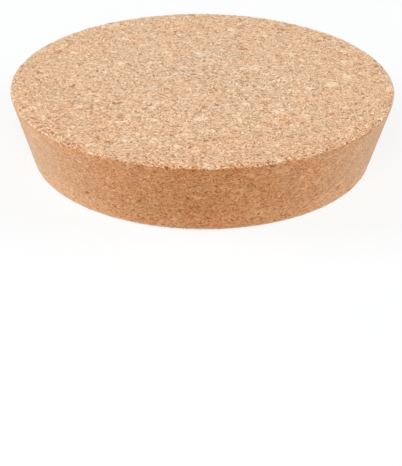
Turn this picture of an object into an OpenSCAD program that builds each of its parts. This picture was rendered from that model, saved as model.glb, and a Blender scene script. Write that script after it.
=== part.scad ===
// Wide, shallow stopper for the neck of a jar, cut and ground from one piece of pressed cork board.
// Millimetres, +Z up. The origin is the centre of the small end, which the stopper stands on.

/* [Stopper] */
// Diameter across the large end, before its edge is eased
top_d = 100; // [60:1:160]
// Diameter across the small end, before its edge is eased
bottom_d = 88; // [50:1:150]
// Thickness from one flat end to the other
thickness = 20; // [10:1:40]

/* [Eased edges] */
// Radius of the round on the large end's edge
top_edge_r = 0.8; // [0.2:0.1:2.5]
// Radius of the round on the small end's edge
bottom_edge_r = 1.4; // [0.2:0.1:2.5]

/* [Hidden] */
$fa = 2;
$fs = 0.2;

// Straight facets that stand for each edge's round
round_steps = 8;

top_r = top_d / 2;
bottom_r = bottom_d / 2;
// Angle between the wall and the axis
wall_lean = atan2(top_r - bottom_r, thickness);

// How far in from an edge its round touches the flat end, where the section has this inner angle
function set_back(inner_angle, edge_r) = edge_r / tan(inner_angle / 2);

// Points along an edge's round, between the directions in which it touches its two sides
function round_points(centre, edge_r, from, to) = [
    for (step = [0 : round_steps])
        let (direction = from + (to - from) * step / round_steps)
            centre + edge_r * [cos(direction), sin(direction)]
];

// Half of the stopper's section, from the axis outwards
module half_section() {
    top_centre = [top_r - set_back(90 - wall_lean, top_edge_r), thickness - top_edge_r];
    bottom_centre = [bottom_r - set_back(90 + wall_lean, bottom_edge_r), bottom_edge_r];
    polygon(concat(
        [[0, 0]],
        round_points(bottom_centre, bottom_edge_r, -90, -wall_lean),
        round_points(top_centre, top_edge_r, -wall_lean, 90),
        [[0, thickness]]
    ));
}

module stopper() {
    color([0.80, 0.62, 0.45])
        rotate_extrude()
            half_section();
}

stopper();
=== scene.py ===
"""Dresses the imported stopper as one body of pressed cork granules, on a plain pale floor."""

import math

import bpy
import numpy as np
from bpy.props import FloatProperty, FloatVectorProperty, IntProperty, PointerProperty
from bpy.types import Operator, Panel, PropertyGroup
from mathutils import Matrix, Vector


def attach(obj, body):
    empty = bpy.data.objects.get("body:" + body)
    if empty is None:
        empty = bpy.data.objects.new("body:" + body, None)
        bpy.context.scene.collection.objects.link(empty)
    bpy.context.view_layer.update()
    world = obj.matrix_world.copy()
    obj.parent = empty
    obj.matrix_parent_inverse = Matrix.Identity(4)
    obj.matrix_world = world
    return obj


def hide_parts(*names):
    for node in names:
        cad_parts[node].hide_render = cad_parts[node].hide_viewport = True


bl_info = {
    "name": "Pressed Cork Stopper",
    "version": (1, 0, 0),
    "blender": (4, 5, 0),
    "location": "3D View > Sidebar > Stopper",
    "description": "Dresses a plain tapered solid as a stopper of pressed cork granules",
    "category": "Add Mesh",
}

MM = 0.001
SOLID = "stopper"
BODY = "root"

# Each kind of mark reads the random noise this far off, so that no two kinds fall together.
FIELDS = {
    "border": 3.0,
    "patches": 5.0,
    "growth": 9.0,
    "creases": 17.0,
    "fine": 31.0,
    "seams": 53.0,
    "strokes": 71.0,
}

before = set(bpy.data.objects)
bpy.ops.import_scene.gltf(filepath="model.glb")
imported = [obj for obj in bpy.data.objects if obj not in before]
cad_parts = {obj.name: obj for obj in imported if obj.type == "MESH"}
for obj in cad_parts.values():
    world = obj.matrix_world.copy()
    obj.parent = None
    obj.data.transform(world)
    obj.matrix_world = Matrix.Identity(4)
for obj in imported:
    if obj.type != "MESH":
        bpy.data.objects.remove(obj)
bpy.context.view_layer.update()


# ------------------------------------------------------------------ node trees


class Number:
    """One number in a node tree, for plain expressions."""

    def __init__(self, nodes, socket):
        self.nodes = nodes
        self.socket = socket

    def work(self, operation, first, second):
        return self.nodes.number(operation, first, second)

    def __add__(self, other):
        return self.work("ADD", self, other)

    def __radd__(self, other):
        return self.work("ADD", other, self)

    def __sub__(self, other):
        return self.work("SUBTRACT", self, other)

    def __rsub__(self, other):
        return self.work("SUBTRACT", other, self)

    def __mul__(self, other):
        return self.work("MULTIPLY", self, other)

    def __rmul__(self, other):
        return self.work("MULTIPLY", other, self)

    def __abs__(self):
        return self.nodes.number("ABSOLUTE", self)


class Triple(Number):
    """One vector or colour in a node tree, for plain expressions."""

    def work(self, operation, first, second):
        return self.nodes.vector(operation, first, second)


class Nodes:
    """Adds nodes to one tree and hands back what they give."""

    def __init__(self, tree):
        self.tree = tree

    def add(self, node_type, settings=None, sockets=None):
        """One node: its settings come first, then the values or links of its sockets."""
        node = self.tree.nodes.new(node_type)
        for name, setting in (settings or {}).items():
            setattr(node, name, setting)
        for name, value in (sockets or {}).items():
            self.fill(node.inputs[name], value)
        return node

    def fill(self, socket, value):
        """Links a socket to what another node gives, or sets it to a plain number or colour."""
        if isinstance(value, Number):
            value = value.socket
        if isinstance(value, bpy.types.NodeSocket):
            self.tree.links.new(value, socket)
        elif socket.type == "RGBA":
            socket.default_value = (*value, 1.0)
        else:
            socket.default_value = value

    def number(self, operation, *values):
        node = self.add("ShaderNodeMath", {"operation": operation}, dict(enumerate(values)))
        return Number(self, node.outputs[0])

    def vector(self, operation, first, second):
        """One operation on two vectors, either of which may be one number for all three parts."""
        if operation == "MULTIPLY" and not isinstance(second, (Triple, tuple)):
            node = self.add("ShaderNodeVectorMath", {"operation": "SCALE"}, {0: first, "Scale": second})
            return Triple(self, node.outputs[0])
        pair = [(value,) * 3 if isinstance(value, (int, float)) else value for value in (first, second)]
        node = self.add("ShaderNodeVectorMath", {"operation": operation}, dict(enumerate(pair)))
        return Triple(self, node.outputs[0])

    def dot(self, first, second):
        node = self.add("ShaderNodeVectorMath", {"operation": "DOT_PRODUCT"}, {0: first, 1: second})
        return Number(self, node.outputs["Value"])

    def unit(self, vector):
        node = self.add("ShaderNodeVectorMath", {"operation": "NORMALIZE"}, {0: vector})
        return Triple(self, node.outputs[0])

    def parts(self, vector):
        node = self.add("ShaderNodeSeparateXYZ", {}, {0: vector})
        return [Number(self, output) for output in node.outputs]

    def rise(self, value, start, end):
        """Goes smoothly from 0 to 1 while the value goes from start to end."""
        sockets = {"Value": value, "From Min": start, "From Max": end}
        node = self.add("ShaderNodeMapRange", {"interpolation_type": "SMOOTHSTEP"}, sockets)
        return Number(self, node.outputs["Result"])

    def fall(self, value, start, end):
        """Goes smoothly from 1 to 0 while the value goes from start to end."""
        return 1.0 - self.rise(value, start, end)

    def noise(self, place, size, detail=0.0):
        """A noise node whose lumps are about this size."""
        sockets = {"Vector": place, "Scale": 1.0 / size, "Detail": detail}
        return self.add("ShaderNodeTexNoise", {}, sockets)

    def lumps(self, place, size, detail=0.0):
        """Soft random lumps of about this size, from about -1 to 1."""
        return Number(self, self.noise(place, size, detail).outputs["Fac"]) * 4.0 - 2.0

    def drift(self, place, size, detail=0.0):
        """A soft random push in any direction, with parts from about -1 to 1."""
        return Triple(self, self.noise(place, size, detail).outputs["Color"]) * 4.0 - 2.0

    def lines(self, place, size, width):
        """Thin random lines: 1 in the middle of a line, and 0 from this share of a lump away."""
        return self.fall(abs(self.lumps(place, size)), 0.0, width)

    def between(self, value, lowest, highest):
        """The value, held between these two limits."""
        return self.number("MINIMUM", self.number("MAXIMUM", value, lowest), highest)

    def mix(self, factor, first, second):
        """The first colour where the factor is 0 and the second where it is 1."""
        settings = {"data_type": "RGBA"}
        node = self.add("ShaderNodeMix", settings, {0: factor, 6: first, 7: second})
        return Triple(self, node.outputs[2])

    def tint(self, colour, change, amount):
        """The colour with its red, green and blue changed by these shares where the amount is 1."""
        return colour * (self.vector("MULTIPLY", tuple(change), amount) + 1.0)


# ------------------------------------------------------------------ sizes and colours


def in_mm(length):
    """A length of the settings in millimetres, without the stray digits of single precision."""
    return round(length / MM, 6)


class GranuleSizes(PropertyGroup):
    """How big the granules are, how they were pressed, and how far the surface is worn between them."""

    large: FloatProperty(
        name="Large granules", description="Width of a large granule", default=2.5 * MM, unit="LENGTH"
    )
    small: FloatProperty(
        name="Crumbs", description="Width of the crumbs between the large granules", default=1.4 * MM,
        unit="LENGTH",
    )
    large_share: FloatProperty(
        name="Large share", description="Share of the cork that is large granules", default=0.55,
        subtype="FACTOR",
    )
    pressing: FloatProperty(
        name="Pressing", description="How many times flatter than wide the press left each granule",
        default=1.8,
    )
    bend: FloatProperty(
        name="Bend", description="How far the press bent the granules out of their plain shape",
        default=0.12 * MM, unit="LENGTH",
    )
    bend_size: FloatProperty(
        name="Bend size", description="Distance over which that bend changes", default=1.8 * MM,
        unit="LENGTH",
    )
    large_seam: FloatProperty(
        name="Large seam", description="How far a seam reaches into a large granule", default=0.22 * MM,
        unit="LENGTH",
    )
    small_seam: FloatProperty(
        name="Crumb seam", description="How far a seam reaches into a crumb", default=0.14 * MM,
        unit="LENGTH",
    )
    seam_depth: FloatProperty(
        name="Seam depth", description="How deep the seams between granules are", default=0.06 * MM,
        unit="LENGTH",
    )
    wear_depth: FloatProperty(
        name="Wear depth", description="How much deeper the softest granules are worn than the hardest",
        default=0.04 * MM, unit="LENGTH",
    )
    pit_depth: FloatProperty(
        name="Pit depth", description="How deep the hole is where a crumb has dropped out",
        default=0.35 * MM, unit="LENGTH",
    )
    chip_depth: FloatProperty(
        name="Chip depth", description="How much a crumb broken from the rim takes with it",
        default=0.10 * MM, unit="LENGTH",
    )


class SkinSizes(PropertyGroup):
    """How finely the skin is divided."""

    rings: IntProperty(
        name="Rings", description="Rings of faces on each flat end, with six times as many on the rim",
        default=104,
    )
    row_gap: FloatProperty(
        name="Row gap", description="Height of one row of faces on the wall", default=0.55 * MM,
        unit="LENGTH",
    )


class CorkColours(PropertyGroup):
    """The colours of the cork, and the shares by which its red, green and blue change."""

    sanded: FloatVectorProperty(
        name="Sanded ends", description="Granules cut by the sanded flat ends", subtype="COLOR",
        default=(0.642, 0.334, 0.154),
    )
    ground: FloatVectorProperty(
        name="Ground wall", description="Granules cut by the ground wall", subtype="COLOR",
        default=(0.466, 0.185, 0.046),
    )
    sanded_slope: FloatVectorProperty(
        name="Slope on the ends", description="How fast the colour follows the marks on the ends",
        default=(0.65, 1.25, 2.45),
    )
    ground_slope: FloatVectorProperty(
        name="Slope on the wall", description="How fast the colour follows the marks on the wall",
        default=(0.72, 1.30, 3.40),
    )
    sanded_bend: FloatVectorProperty(
        name="Bend on the ends", description="How much faster it follows pale marks than dark ones",
        default=(0.02, 0.27, 0.50),
    )
    ground_bend: FloatVectorProperty(
        name="Bend on the wall", description="How much faster it follows pale marks than dark ones",
        default=(0.16, 0.36, 1.50),
    )
    patch_tint: FloatVectorProperty(
        name="Patch tint", description="Change of colour in warm patches, and the reverse in cool ones",
        default=(0.033, -0.033, -0.11),
    )
    # Painted sheen: the eased edges are made paler and greyer, in place of the sheen their round does
    # not catch.
    edge_sheen_tint: FloatVectorProperty(
        name="Edge tint", description="Change of colour along the eased edges",
        default=(-0.03, 0.08, 0.32),
    )
    # The ends turn warmer and deeper in colour towards the rim.
    rimward_tint: FloatVectorProperty(
        name="Handled tint", description="Change of colour on the ends, towards the rim",
        default=(0.0, -0.06, -0.15),
    )
    fleck_tint: FloatVectorProperty(
        name="Fleck tint", description="Change of colour in the palest granules",
        default=(0.0, 0.06, 0.144),
    )


class MarkStrengths(PropertyGroup):
    """How strongly each kind of mark shows: 0 leaves the plain colour, and 1 is a full step of tone."""

    granules: FloatProperty(
        name="Granules", description="Difference in tone from granule to granule", default=0.1
    )
    streaks: FloatProperty(
        name="Streaks", description="Pale and dark streaks, which run another way in each granule",
        default=0.5,
    )
    growth: FloatProperty(
        name="Growth lines", description="Thin dark lines, which run as the streaks do", default=1.9
    )
    variety: FloatProperty(
        name="Variety", description="How much streaks and growth lines differ from granule to granule",
        default=0.5,
    )
    fine: FloatProperty(name="Fine lumps", description="Soft lumps inside the granules", default=0.68)
    seams: FloatProperty(name="Seams", description="Dark seams between granules", default=0.2)
    strokes: FloatProperty(
        name="Strokes", description="Short dark strokes of bark and open pores", default=0.9
    )
    flecks: FloatProperty(name="Flecks", description="The palest granules", default=0.4)
    # Painted shade: the holes where a crumb has dropped out are darkened in colour.
    pit_shade: FloatProperty(name="Pits", description="Holes where a crumb has dropped out", default=0.3)
    # Painted light: the foot of the wall is made paler, as the white floor's bounce would light it.
    worn_and_floor_lit: FloatProperty(
        name="Worn foot", description="How much paler the foot of the wall is", default=0.21
    )
    lift: FloatProperty(
        name="Lift", description="Tone of the cork between its marks", default=0.33
    )
    darkest: FloatProperty(
        name="Darkest", description="The lowest tone that marks can reach together", default=-0.78
    )
    palest: FloatProperty(
        name="Palest", description="The highest tone that marks can reach together", default=0.7
    )
    wall_share: FloatProperty(
        name="Wall share", description="Strength of all marks on the wall, as a share of the ends",
        default=0.74, subtype="FACTOR",
    )
    patch_granules: FloatProperty(
        name="Granules in patches", description="How much granules stray from the tint of their patch",
        default=0.3,
    )


class MarkSizes(PropertyGroup):
    """How big the marks are, and how far they reach."""

    streak: FloatProperty(
        name="Streaks", description="Size of the streaks, growth lines and strokes before combing",
        default=0.475 * MM, unit="LENGTH",
    )
    fine: FloatProperty(
        name="Fine lumps", description="Size of the fine lumps before combing", default=0.33 * MM,
        unit="LENGTH",
    )
    along: FloatProperty(
        name="Along the layers", description="How finely combing divides marks along the growth layers",
        default=0.33,
    )
    across: FloatProperty(
        name="Across the layers", description="How much more finely it divides them across the layers",
        default=1.7,
    )
    curl: FloatProperty(
        name="Curl", description="How far the layers curl away from flat", default=0.35 * MM,
        unit="LENGTH",
    )
    curl_size: FloatProperty(
        name="Curl size", description="Distance over which the layers curl", default=1.2 * MM,
        unit="LENGTH",
    )
    growth_width: FloatProperty(
        name="Growth line width", description="Width of the growth lines, as a share of a streak",
        default=0.27,
    )
    crease: FloatProperty(
        name="Creases", description="Size of the loops that the fine creases make", default=0.62 * MM,
        unit="LENGTH",
    )
    crease_width: FloatProperty(
        name="Crease width", description="Width of the creases, as a share of their loops", default=0.22
    )
    open_seam: FloatProperty(
        name="Open seams", description="Length over which a seam stays open or closed",
        default=0.8 * MM, unit="LENGTH",
    )
    patch: FloatProperty(
        name="Patches", description="Size of the patches of slightly different colour",
        default=7.0 * MM, unit="LENGTH",
    )
    border_stray: FloatProperty(
        name="Border stray", description="How far the border between wall and ends strays",
        default=0.3 * MM, unit="LENGTH",
    )
    border_lump: FloatProperty(
        name="Border lumps", description="Distance over which that border strays", default=1.2 * MM,
        unit="LENGTH",
    )
    # Painted light: height of the paler band at the foot of the wall that the floor's bounce would
    # light.
    floor_lit_height: FloatProperty(
        name="Worn height", description="Height to which the foot of the wall is worn pale",
        default=6.5 * MM, unit="LENGTH",
    )


class FinishSettings(PropertyGroup):
    """How the surface takes the light, and the heights in its bump, as shares of the bump's depth."""

    roughness: FloatProperty(
        name="Roughness", description="Roughness of the cork", default=0.7, subtype="FACTOR"
    )
    gloss: FloatProperty(
        name="Gloss", description="Strength of the plain reflection", default=0.1, subtype="FACTOR"
    )
    sheen: FloatProperty(
        name="Sheen", description="Soft pale light on slanting views, as dust and fine fibres give",
        default=0.58, subtype="FACTOR",
    )
    sheen_roughness: FloatProperty(
        name="Sheen roughness", description="How widely the sheen spreads", default=0.5,
        subtype="FACTOR",
    )
    sheen_tint: FloatVectorProperty(
        name="Sheen tint", description="Colour of the sheen", subtype="COLOR", default=(1.0, 1.0, 0.85)
    )
    bump: FloatProperty(
        name="Bump", description="Strength of the bump", default=0.4, subtype="FACTOR"
    )
    bump_depth: FloatProperty(
        name="Bump depth", description="Depth of the bump", default=0.15 * MM, unit="LENGTH"
    )
    streaks: FloatProperty(name="Streak height", description="How high streaks stand", default=0.3)
    fine: FloatProperty(name="Lump height", description="How high the fine lumps stand", default=0.25)
    seams: FloatProperty(name="Seam depth", description="How deep the seams lie", default=0.5)
    creases: FloatProperty(name="Crease depth", description="How deep the creases lie", default=0.3)
    strokes: FloatProperty(name="Stroke depth", description="How deep the strokes lie", default=0.6)


class StageSettings(PropertyGroup):
    """The floor, the light and the camera around the stopper."""

    floor: FloatProperty(
        name="Floor", description="How pale the floor is in the light that it throws back",
        default=0.85, subtype="FACTOR",
    )
    floor_tint: FloatVectorProperty(
        name="Floor tint", description="Colour of the lit floor, which shows most in the shadow",
        subtype="COLOR", default=(0.93, 0.98, 1.0),
    )
    glow: FloatProperty(
        name="Glow", description="Share of plain white in the floor as seen, which thins the shadow",
        default=0.78, subtype="FACTOR",
    )
    fade_start: FloatProperty(
        name="Fade start", description="How far out the floor starts to turn plain white",
        default=0.06, unit="LENGTH",
    )
    fade_end: FloatProperty(
        name="Fade end", description="How far out the floor is plain white", default=0.22,
        unit="LENGTH",
    )
    sky: FloatProperty(
        name="Sky", description="Strength of the light from all around, where 1 is white", default=0.35
    )
    left_power: FloatProperty(
        name="Left softbox", description="Power of the left softbox", default=6.25, unit="POWER"
    )
    left_tint: FloatVectorProperty(
        name="Left tint", description="Colour of the left softbox", subtype="COLOR",
        default=(0.99, 1.0, 0.98),
    )
    right_power: FloatProperty(
        name="Right softbox", description="Power of the right softbox", default=4.4, unit="POWER"
    )
    right_tint: FloatVectorProperty(
        name="Right tint", description="Colour of the right softbox", subtype="COLOR",
        default=(1.0, 0.965, 0.90),
    )
    front_power: FloatProperty(
        name="Front softbox", description="Power of the front softbox", default=3.9, unit="POWER"
    )
    front_tint: FloatVectorProperty(
        name="Front tint", description="Colour of the front softbox", subtype="COLOR",
        default=(1.0, 0.985, 0.965),
    )
    elevation: FloatProperty(
        name="Camera elevation", description="How far above the table the camera looks from",
        default=math.radians(28.616), subtype="ANGLE",
    )
    roll: FloatProperty(
        name="Camera roll", description="How far the camera is turned about its own view",
        default=math.radians(0.536), subtype="ANGLE",
    )
    reach: FloatProperty(
        name="Camera reach", description="Distance from the camera to what it looks at",
        default=0.4529, unit="LENGTH",
    )
    aim_height: FloatProperty(
        name="Aim height", description="Height of the point that the camera looks at",
        default=-0.02462, unit="LENGTH",
    )
    lens: FloatProperty(
        name="Lens", description="Focal length of the camera", default=128.26, unit="CAMERA"
    )


# ------------------------------------------------------------------ the cork itself


# How sharply large granules end and crumbs begin, on either side of the large share.
SIZE_CHANGE = 0.01

# Each granule has random numbers from 0 to 1. These are where a trait sets in and where it is full.
DROPPED_CRUMBS = (0.985, 0.99)
LOOSE_CRUMBS = (0.50, 0.85)
PALE_GRANULES = (0.88, 0.98)


class Cells:
    """One size of granule: its random numbers, the way across its layers, and the gap to its seam."""

    def __init__(self, nodes, place, width):
        sockets = {"Vector": place, "Scale": 1.0 / width}
        inner = nodes.add("ShaderNodeTexVoronoi", {"feature": "F1"}, sockets)
        border = nodes.add("ShaderNodeTexVoronoi", {"feature": "DISTANCE_TO_EDGE"}, sockets)
        colour = Triple(nodes, inner.outputs["Color"])
        self.chance = nodes.parts(colour)
        self.across = nodes.unit(colour - 0.5)
        self.seam_gap = Number(nodes, border.outputs["Distance"]) * width


class Granules:
    """Where a place, in millimetres, lies among the pressed granules."""

    def __init__(self, nodes, place, sizes):
        flattened = place * (1.0, 1.0, sizes.pressing)
        push = nodes.drift(flattened, in_mm(sizes.bend_size), 2.0)
        self.bent = flattened + push * in_mm(sizes.bend)
        self.large = Cells(nodes, self.bent, in_mm(sizes.large))
        self.small = Cells(nodes, self.bent, in_mm(sizes.small))
        share = sizes.large_share
        self.is_large = nodes.fall(self.large.chance[0], share - SIZE_CHANGE, share + SIZE_CHANGE)
        self.is_crumb = 1.0 - self.is_large
        large_seam = nodes.fall(self.large.seam_gap, 0.0, in_mm(sizes.large_seam))
        small_seam = nodes.fall(self.small.seam_gap, 0.0, in_mm(sizes.small_seam)) * self.is_crumb
        self.seam = nodes.number("MAXIMUM", large_seam, small_seam)
        self.chance = self.large.chance[1] * self.is_large + self.small.chance[0] * self.is_crumb
        self.pit = nodes.rise(self.small.chance[2], *DROPPED_CRUMBS) * self.is_crumb
        self.loose = nodes.rise(self.small.chance[1], *LOOSE_CRUMBS)


def rim_of(section):
    """The rim's radius and height, in millimetres: the widest radius and the top of the section."""
    return max(radius for radius, height in section) / MM, section[-1][1] / MM


def wall_of(section):
    """How far the straight wall leans out for its height, and its radius in millimetres at height 0."""
    stretches = zip(section, section[1:])
    (radius, height), (top_radius, top_height) = max(stretches, key=lambda ends: math.dist(*ends))
    lean = (top_radius - radius) / (top_height - height)
    return lean, (radius - lean * height) / MM


# Millimetres from the rim at which chips start to get shallower, and at which there are none.
CHIP_REACH = (0.5, 1.9)


def near_rim(nodes, place, section):
    """1 on the rim, and 0 beyond the reach of its chips."""
    rim_radius, rim_height = rim_of(section)
    x, y, z = nodes.parts(place)
    across = nodes.number("SQRT", x * x + y * y) - rim_radius
    above = z - rim_height
    gap = nodes.number("SQRT", across * across + above * above)
    return nodes.fall(gap, *CHIP_REACH)


def add_relief(body, sizes, section):
    """Sinks the seams, the pits and the chips of the rim into the skin, and nothing stands proud."""
    tree = bpy.data.node_groups.new("granule_relief", "GeometryNodeTree")
    tree.interface.new_socket("Geometry", in_out="INPUT", socket_type="NodeSocketGeometry")
    tree.interface.new_socket("Geometry", in_out="OUTPUT", socket_type="NodeSocketGeometry")
    nodes = Nodes(tree)
    plain = nodes.add("NodeGroupInput")
    place = Triple(nodes, nodes.add("GeometryNodeInputPosition").outputs[0]) * (1.0 / MM)
    normal = Triple(nodes, nodes.add("GeometryNodeInputNormal").outputs[0])
    granules = Granules(nodes, place, sizes)
    sunk = granules.seam * sizes.seam_depth + granules.chance * sizes.wear_depth
    sunk = sunk + granules.pit * sizes.pit_depth
    sunk = sunk + near_rim(nodes, place, section) * granules.loose * sizes.chip_depth
    sockets = {"Geometry": plain.outputs[0], "Offset": normal * (0.0 - sunk)}
    worn_and_floor_lit = nodes.add("GeometryNodeSetPosition", {}, sockets)
    nodes.add("NodeGroupOutput", {}, {0: worn_and_floor_lit.outputs[0]})
    modifier = body.modifiers.new("granule_relief", "NODES")
    modifier.node_group = tree
    bpy.context.view_layer.objects.active = body
    bpy.ops.object.modifier_apply(modifier=modifier.name)


# How finely the growth lines and the strokes are divided, against the streaks.
GROWTH_SCALE = 0.62
STROKE_SCALE = 0.8

# Where in its noise, from about -1 to 1, a mark sets in and where it is full.
OPEN_SEAMS = (-0.5, 0.6)
DARK_STROKES = (0.8, 1.1)


class Marks:
    """The marks in the cut granules, each a number that is high where the mark is strong."""

    def __init__(self, nodes, granules, sizes, variety):
        across = nodes.mix(granules.is_large, granules.small.across, granules.large.across)
        curled = granules.bent + nodes.drift(granules.bent, in_mm(sizes.curl_size)) * in_mm(sizes.curl)
        combed = curled * sizes.along + across * (nodes.dot(curled, across) * sizes.across)
        streak = in_mm(sizes.streak)
        self.streaks = nodes.lumps(combed, streak, 1.0)
        self.fine = nodes.lumps(combed + FIELDS["fine"], in_mm(sizes.fine), 1.0)
        growth_place = combed * GROWTH_SCALE + FIELDS["growth"]
        self.growth = nodes.lines(growth_place, streak, sizes.growth_width)
        self.creases = nodes.lines(curled + FIELDS["creases"], in_mm(sizes.crease), sizes.crease_width)
        stroke_noise = nodes.lumps(combed * STROKE_SCALE + FIELDS["strokes"], streak)
        self.strokes = nodes.rise(stroke_noise, *DARK_STROKES)
        seam_noise = nodes.lumps(granules.bent + FIELDS["seams"], in_mm(sizes.open_seam))
        self.open_seams = granules.seam * nodes.rise(seam_noise, *OPEN_SEAMS)
        self.flecks = nodes.rise(granules.chance, *PALE_GRANULES)
        # about 1, and higher or lower from granule to granule
        self.contrast = nodes.rise(granules.large.chance[2], 0.0, 1.0) * variety + (1.0 - 0.5 * variety)


# Millimetres over which each of these changes. The first is how much nearer the end is than the wall,
# the second the larger of those two gaps, along which the eased edges get a painted sheen, and the third
# a radius on the ends.
BORDER = (-0.7, -0.1)
EDGE_SHEEN = (0.4, 1.5)
RIMWARD = (12.0, 42.0)

# Heights in millimetres: painted floor light makes the wall fully paler below the first, and once more,
# by a share, at its foot.
FULLY_FLOOR_LIT = 3.5
FOOT = (0.5, 3.0)
FOOT_SHARE = 0.8


class Cuts:
    """Which cut surface a place lies on, with a border that follows the granules a little."""

    def __init__(self, nodes, place, granules, sizes, section):
        x, y, z = nodes.parts(place)
        out = nodes.number("SQRT", x * x + y * y)
        lean, foot_radius = wall_of(section)
        rim_height = rim_of(section)[1]
        wall_gap = z * lean + foot_radius - out
        end_gap = nodes.number("MINIMUM", rim_height - z, z)
        stray = in_mm(sizes.border_stray)
        lumps = nodes.lumps(granules.bent + FIELDS["border"], in_mm(sizes.border_lump))
        ragged = (granules.chance - 0.5) * stray + lumps * stray * 0.5
        self.sanded = nodes.rise(wall_gap - end_gap + ragged, *BORDER)
        # Painted sheen: 1 along the eased edges, where the colour is made paler and greyer.
        self.edge = nodes.fall(nodes.number("MAXIMUM", wall_gap, end_gap), *EDGE_SHEEN)
        # 1 towards the rim on the ends, where the colour turns warmer and deeper.
        self.rimward = nodes.rise(out, *RIMWARD) * self.sanded
        # Painted light from the floor: paler towards the foot of the wall.
        self.worn_and_floor_lit = nodes.fall(z, FULLY_FLOOR_LIT, in_mm(sizes.floor_lit_height))
        self.worn_and_floor_lit = self.worn_and_floor_lit + nodes.fall(z, *FOOT) * FOOT_SHARE


def tone_of(nodes, granules, marks, cuts, strengths):
    """All the marks together: below 0 they make the cork darker, and above 0 paler."""
    tone = (granules.chance - 0.5) * strengths.granules + marks.flecks * strengths.flecks
    tone = tone + marks.streaks * marks.contrast * strengths.streaks + marks.fine * strengths.fine
    tone = tone - marks.growth * marks.contrast * strengths.growth
    tone = tone - marks.open_seams * strengths.seams
    # Painted shade in the pits.
    tone = tone - marks.strokes * strengths.strokes - granules.pit * strengths.pit_shade
    # Painted floor light at the foot of the wall.
    tone = tone + cuts.worn_and_floor_lit * strengths.worn_and_floor_lit
    tone = nodes.between(tone + strengths.lift, strengths.darkest, strengths.palest)
    return tone * (strengths.wall_share + cuts.sanded * (1.0 - strengths.wall_share))


def patches_of(nodes, granules, patch_size, granule_share):
    """Warm patches above 0 and cool ones below, from which single granules stray a little."""
    lumps = nodes.lumps(granules.bent + FIELDS["patches"], patch_size, 1.0)
    return lumps + (granules.chance - 0.5) * granule_share


def colour_of(nodes, patches, marks, cuts, tone, colours):
    """The plain colour of the cut surface, with its tints and a painted sheen on the eased edges, made
    darker or paler by the marks.
    """
    plain = nodes.mix(cuts.sanded, tuple(colours.ground), tuple(colours.sanded))
    plain = nodes.tint(plain, colours.patch_tint, patches)
    # Painted sheen on the eased edges.
    plain = nodes.tint(plain, colours.edge_sheen_tint, cuts.edge)
    plain = nodes.tint(plain, colours.rimward_tint, cuts.rimward)
    plain = nodes.tint(plain, colours.fleck_tint, marks.flecks)
    slope = nodes.mix(cuts.sanded, tuple(colours.ground_slope), tuple(colours.sanded_slope))
    bend = nodes.mix(cuts.sanded, tuple(colours.ground_bend), tuple(colours.sanded_bend))
    return nodes.vector("MAXIMUM", plain * ((bend * tone + slope) * tone + 1.0), 0.0)


def cork_material(settings, section):
    """Pressed cork: granules with their own tone, streaks and layers, paler on the sanded ends."""
    sizes = settings.stopper_mark_sizes
    strengths = settings.stopper_marks
    finish = settings.stopper_finish
    material = bpy.data.materials.new("pressed_cork")
    material.use_nodes = True
    material.node_tree.nodes.clear()
    nodes = Nodes(material.node_tree)
    place = Triple(nodes, nodes.add("ShaderNodeTexCoord").outputs["Object"]) * (1.0 / MM)
    granules = Granules(nodes, place, settings.stopper_granules)
    marks = Marks(nodes, granules, sizes, strengths.variety)
    cuts = Cuts(nodes, place, granules, sizes, section)
    tone = tone_of(nodes, granules, marks, cuts, strengths)
    patches = patches_of(nodes, granules, in_mm(sizes.patch), strengths.patch_granules)
    height = marks.streaks * finish.streaks + marks.fine * finish.fine - granules.seam * finish.seams
    height = height - marks.creases * finish.creases - marks.strokes * finish.strokes
    sockets = {"Strength": finish.bump, "Distance": finish.bump_depth, "Height": height}
    bump = nodes.add("ShaderNodeBump", {}, sockets)
    sockets = {
        "Base Color": colour_of(nodes, patches, marks, cuts, tone, settings.stopper_colours),
        "Roughness": finish.roughness,
        "Specular IOR Level": finish.gloss,
        "Sheen Weight": finish.sheen,
        "Sheen Roughness": finish.sheen_roughness,
        "Sheen Tint": tuple(finish.sheen_tint),
        "Normal": bump.outputs["Normal"],
    }
    shader = nodes.add("ShaderNodeBsdfPrincipled", {}, sockets)
    nodes.add("ShaderNodeOutputMaterial", {}, {"Surface": shader.outputs[0]})
    return material


# ------------------------------------------------------------------ the skin


# Points of the solid are level with each other to this many digits of a metre.
HEIGHT_DIGITS = 6

# The shortest row of faces that is kept, as a share of the row gap.
SHORTEST_ROW = 0.6

# Sectors in which a flat end's triangles are laid out.
SECTORS = 6


def section_of(solid):
    """The solid's outline as (radius, height) pairs, from the flat small end to the flat large end."""
    widest = {}
    for vertex in solid.data.vertices:
        height = round(vertex.co.z, HEIGHT_DIGITS)
        widest[height] = max(widest.get(height, 0.0), math.hypot(vertex.co.x, vertex.co.y))
    return [(widest[height], height) for height in sorted(widest)]


def wall_rows(section, row_gap):
    """Rows of the wall and its rounds: the section's points, thinned out or filled in to row_gap."""
    rows = [section[0]]
    for radius, height in section[1:]:
        last_radius, last_height = rows[-1]
        length = math.hypot(radius - last_radius, height - last_height)
        if length < SHORTEST_ROW * row_gap and (radius, height) != section[-1]:
            continue
        steps = max(1, round(length / row_gap))
        for step in range(1, steps + 1):
            share = step / steps
            row_radius = last_radius + (radius - last_radius) * share
            row_height = last_height + (height - last_height) * share
            rows.append((row_radius, row_height))
    return rows


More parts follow.
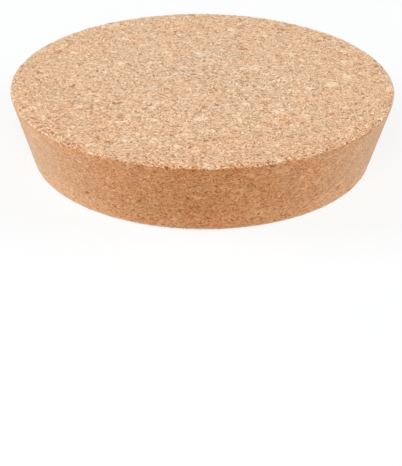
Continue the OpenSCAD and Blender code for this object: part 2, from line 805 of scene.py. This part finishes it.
class Skin:
    """Collects the points, faces and flat map of the stopper's skin."""

    def __init__(self):
        self.points = []
        self.faces = []
        self.map_places = []

    def ring(self, radius, height, count):
        """Adds a level ring of points and returns the number of its first one."""
        first = len(self.points)
        for step in range(count):
            angle = math.tau * step / count
            self.points.append((radius * math.cos(angle), radius * math.sin(angle), height))
        return first

    def face(self, corners, places):
        self.faces.append(corners)
        self.map_places.extend(places)

    def mesh(self, name):
        mesh = bpy.data.meshes.new(name)
        mesh.from_pydata(self.points, [], self.faces)
        layer = mesh.uv_layers.new(name="OFBake")
        layer.data.foreach_set("uv", np.array(self.map_places, dtype=np.float32).ravel())
        mesh.polygons.foreach_set("use_smooth", [True] * len(mesh.polygons))
        mesh.update()
        return mesh


def add_end(skin, rim_first, rings, facing_up, place_on_map):
    """Fills a flat end inside its rim. Ring k has k points a sector, which keeps triangles equal."""
    rim_x, rim_y, height = skin.points[rim_first]
    radius = math.hypot(rim_x, rim_y)
    firsts = [skin.ring(0.0, height, 1)]
    firsts += [skin.ring(radius * k / rings, height, SECTORS * k) for k in range(1, rings)]
    firsts.append(rim_first)

    def corner(k, index):
        return firsts[k] + (index % (SECTORS * k) if k else 0)

    for k in range(1, rings + 1):
        for index in range(SECTORS * k):
            sector, step = divmod(index, k)
            inner = sector * (k - 1) + step
            triangles = [(corner(k, index), corner(k, index + 1), corner(k - 1, inner))]
            if step < k - 1:
                triangles.append((corner(k - 1, inner), corner(k, index + 1), corner(k - 1, inner + 1)))
            for triangle in triangles:
                if not facing_up:
                    triangle = triangle[::-1]
                skin.face(triangle, [place_on_map(skin.points[point]) for point in triangle])


def build_skin(section, sizes):
    """The whole skin as one closed mesh. Its flat map holds both ends and two strips of wall."""
    skin = Skin()
    around = SECTORS * sizes.rings
    rows = wall_rows(section, sizes.row_gap)
    firsts = [skin.ring(radius, height, around) for radius, height in rows]
    travelled = [0.0]
    for (radius, height), (next_radius, next_height) in zip(rows, rows[1:]):
        travelled.append(travelled[-1] + math.hypot(next_radius - radius, next_height - height))

    # the sheet of the flat map, in metres, on which the small end is drawn a little smaller
    gap = 0.002
    large_end = 0.100
    small_scale = 0.8
    small_end = 0.088 * small_scale
    sheet = large_end + small_end + 3 * gap
    half_turn = around // 2
    column_width = (sheet - 2 * gap) / half_turn

    for row, (low, high) in enumerate(zip(firsts, firsts[1:])):
        for column in range(around):
            half, rest = divmod(column, half_turn)
            left = gap + rest * column_width
            floor = large_end + 2 * gap + half * (travelled[-1] + gap)
            u0, u1 = left / sheet, (left + column_width) / sheet
            v0, v1 = (floor + travelled[row]) / sheet, (floor + travelled[row + 1]) / sheet
            after = (column + 1) % around
            corners = (low + column, low + after, high + after, high + column)
            skin.face(corners, [(u0, v0), (u1, v0), (u1, v1), (u0, v1)])

    def large_place(point):
        centre = gap + large_end / 2
        return (centre + point[0]) / sheet, (centre + point[1]) / sheet

    def small_place(point):
        u = 2 * gap + large_end + small_end / 2 + point[0] * small_scale
        v = gap + large_end / 2 - point[1] * small_scale
        return u / sheet, v / sheet

    add_end(skin, firsts[-1], sizes.rings, True, large_place)
    add_end(skin, firsts[0], sizes.rings, False, small_place)
    return skin


class STOPPER_OT_body(Operator):
    """Makes the cork body over the plain solid, with its relief and its finish"""

    bl_idname = "stopper.body"
    bl_label = "Cork body"

    def execute(self, context):
        settings = context.scene
        section = section_of(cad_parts[SOLID])
        mesh = build_skin(section, settings.stopper_skin).mesh("cork_body")
        body = bpy.data.objects.new("cork_body", mesh)
        context.scene.collection.objects.link(body)
        add_relief(body, settings.stopper_granules, section)
        body.data.materials.append(cork_material(settings, section))
        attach(body, BODY)
        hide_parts(SOLID)
        return {"FINISHED"}


# ------------------------------------------------------------------ the stage


def seen_directly(nodes):
    """1 for rays from the camera and for mirror and glass rays, and 0 for the light on the object."""
    rays = nodes.add("ShaderNodeLightPath").outputs
    seen = Number(nodes, rays["Is Camera Ray"]) + Number(nodes, rays["Is Glossy Ray"])
    return nodes.number("MINIMUM", seen + Number(nodes, rays["Is Transmission Ray"]), 1.0)


# Metres, with places from the middle of the stopper's foot.
FLOOR_REACH = 2.0
LAMP_WIDTH = 0.5
LAMP_PLACES = {
    "left": (-0.85, 0.0, 0.31),
    "right": (0.85, 0.0, 0.31),
    "front": (0.0, -0.74, 0.52),
}


def add_floor(stage):
    """A wide floor that looks white and keeps the object's shadow."""
    signs = [(-1, -1), (1, -1), (1, 1), (-1, 1)]
    corners = [(x * FLOOR_REACH, y * FLOOR_REACH, 0.0) for x, y in signs]
    mesh = bpy.data.meshes.new("floor")
    mesh.from_pydata(corners, [], [(0, 1, 2, 3)])
    floor = bpy.data.objects.new("floor", mesh)
    bpy.context.scene.collection.objects.link(floor)
    material = bpy.data.materials.new("floor")
    material.use_nodes = True
    material.node_tree.nodes.clear()
    nodes = Nodes(material.node_tree)
    plain = nodes.add("ShaderNodeBsdfDiffuse", {}, {"Color": (stage.floor,) * 3})
    shaded = nodes.add("ShaderNodeBsdfDiffuse", {}, {"Color": tuple(stage.floor_tint)})
    glow = nodes.add("ShaderNodeEmission", {}, {"Color": (1.0, 1.0, 1.0), "Strength": 1.0})
    place = Triple(nodes, nodes.add("ShaderNodeTexCoord").outputs["Object"])
    x, y, z = nodes.parts(place)
    far = nodes.rise(nodes.number("SQRT", x * x + y * y), stage.fade_start, stage.fade_end)
    share = far * (1.0 - stage.glow) + stage.glow
    sockets = {0: share, 1: shaded.outputs[0], 2: glow.outputs[0]}
    lit = nodes.add("ShaderNodeMixShader", {}, sockets)
    sockets = {0: seen_directly(nodes), 1: plain.outputs[0], 2: lit.outputs[0]}
    choice = nodes.add("ShaderNodeMixShader", {}, sockets)
    nodes.add("ShaderNodeOutputMaterial", {}, {"Surface": choice.outputs[0]})
    mesh.materials.append(material)


def add_sky(stage):
    """Even white light from all around, behind a background that looks white."""
    world = bpy.data.worlds.new("studio")
    bpy.context.scene.world = world
    world.use_nodes = True
    world.node_tree.nodes.clear()
    nodes = Nodes(world.node_tree)
    strength = stage.sky + seen_directly(nodes) * (1.0 - stage.sky)
    sockets = {"Color": (1.0, 1.0, 1.0), "Strength": strength}
    sky = nodes.add("ShaderNodeBackground", {}, sockets)
    nodes.add("ShaderNodeOutputWorld", {}, {"Surface": sky.outputs[0]})


def add_lamp(name, place, power, tint):
    """A square softbox that faces the stopper."""
    light = bpy.data.lights.new(name, "AREA")
    light.shape = "SQUARE"
    light.size = LAMP_WIDTH
    light.energy = power
    light.color = tint
    lamp = bpy.data.objects.new(name, light)
    lamp.location = place
    lamp.rotation_euler = (-Vector(place)).to_track_quat("-Z", "Y").to_euler()
    bpy.context.scene.collection.objects.link(lamp)


def add_camera(stage):
    """The camera, in front of the stopper and above it."""
    data = bpy.data.cameras.new("camera")
    data.lens = stage.lens
    data.clip_start = 0.01
    camera = bpy.data.objects.new("camera", data)
    back = Vector((0.0, -math.cos(stage.elevation), math.sin(stage.elevation)))
    turned = Matrix.Rotation(stage.roll, 3, back) @ Vector((1.0, 0.0, 0.0))
    matrix = Matrix((turned, back.cross(turned), back)).transposed().to_4x4()
    matrix.translation = Vector((0.0, 0.0, stage.aim_height)) + back * stage.reach
    camera.matrix_world = matrix
    bpy.context.scene.collection.objects.link(camera)
    bpy.context.scene.camera = camera


class STOPPER_OT_stage(Operator):
    """Makes the floor, the light and the camera around the stopper"""

    bl_idname = "stopper.stage"
    bl_label = "Stage"

    def execute(self, context):
        stage = context.scene.stopper_stage
        add_floor(stage)
        add_sky(stage)
        for side, place in LAMP_PLACES.items():
            power = getattr(stage, side + "_power")
            tint = getattr(stage, side + "_tint")
            add_lamp(side + "_softbox", place, power, tint)
        add_camera(stage)
        context.scene.view_settings.view_transform = "Standard"
        return {"FINISHED"}


class STOPPER_PT_panel(Panel):
    """Lists the sizes, the colours and what makes each part of the scene"""

    bl_label = "Pressed cork stopper"
    bl_space_type = "VIEW_3D"
    bl_region_type = "UI"
    bl_category = "Stopper"

    def draw(self, context):
        for group in GROUPS:
            box = self.layout.box()
            for name in GROUPS[group].__annotations__:
                box.prop(getattr(context.scene, group), name)
        for operator in OPERATORS:
            self.layout.operator(operator.bl_idname)


GROUPS = {
    "stopper_granules": GranuleSizes,
    "stopper_skin": SkinSizes,
    "stopper_colours": CorkColours,
    "stopper_marks": MarkStrengths,
    "stopper_mark_sizes": MarkSizes,
    "stopper_finish": FinishSettings,
    "stopper_stage": StageSettings,
}
OPERATORS = (STOPPER_OT_body, STOPPER_OT_stage)
CLASSES = (*GROUPS.values(), *OPERATORS, STOPPER_PT_panel)


def register():
    """Adds the classes, and the settings that each scene then has."""
    for cls in CLASSES:
        bpy.utils.register_class(cls)
    for name, group in GROUPS.items():
        setattr(bpy.types.Scene, name, PointerProperty(type=group))


def unregister():
    """Takes away what register added."""
    for name in GROUPS:
        delattr(bpy.types.Scene, name)
    for cls in reversed(CLASSES):
        bpy.utils.unregister_class(cls)


def main():
    """Makes the whole scene."""
    register()
    bpy.ops.stopper.body()
    bpy.ops.stopper.stage()


if __name__ == "__main__":
    main()
